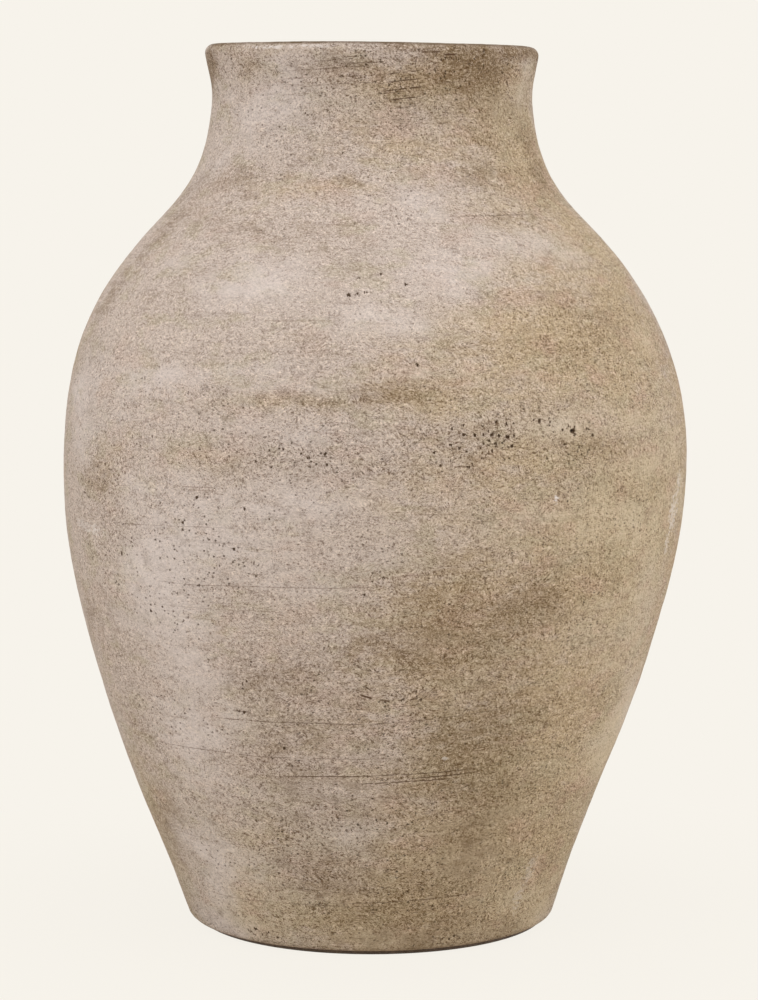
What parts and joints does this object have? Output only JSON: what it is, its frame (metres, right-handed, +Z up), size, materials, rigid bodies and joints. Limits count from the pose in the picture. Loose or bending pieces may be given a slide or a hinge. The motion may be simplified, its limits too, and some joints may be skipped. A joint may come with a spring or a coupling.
{
  "type": "olive jar",
  "caption": "Tall wide-bellied fired-clay storage jar with a narrow foot, sloping shoulder, short flared neck and rolled rim, open at the top, standing on a felt disc.",
  "frame": {"origin": "middle of the underside, on the surface that the jar stands on", "axes": "+Z up along the jar's axis, out of the mouth; the jar is round, and -Y faces the viewer of the reference view"},
  "size_m": [0.3294, 0.3292, 0.46],
  "materials": {
    "fired_clay": "matt unglazed earthenware with a rubbed lime wash over olive and brown stain, pitted and grainy",
    "slip": "matt fired slip, a little darker than the clay",
    "felt": "dark pressed felt"
  },
  "bodies": {
    "root": {"base_felt": "felt", "floor_slab": "fired_clay", "floor_slip_seam": "slip", "base_ring": "fired_clay", "base_slip_seam": "slip", "lower_body_ring": "fired_clay", "body_slip_seam": "slip", "belly_ring": "fired_clay", "belly_slip_seam": "slip", "lower_shoulder_ring": "fired_clay", "shoulder_slip_seam": "slip", "upper_shoulder_ring": "fired_clay", "neck_slip_seam": "slip", "neck_collar": "fired_clay", "rim_slip_seam": "slip", "rim_coil": "fired_clay"}
  },
  "joints": []
}
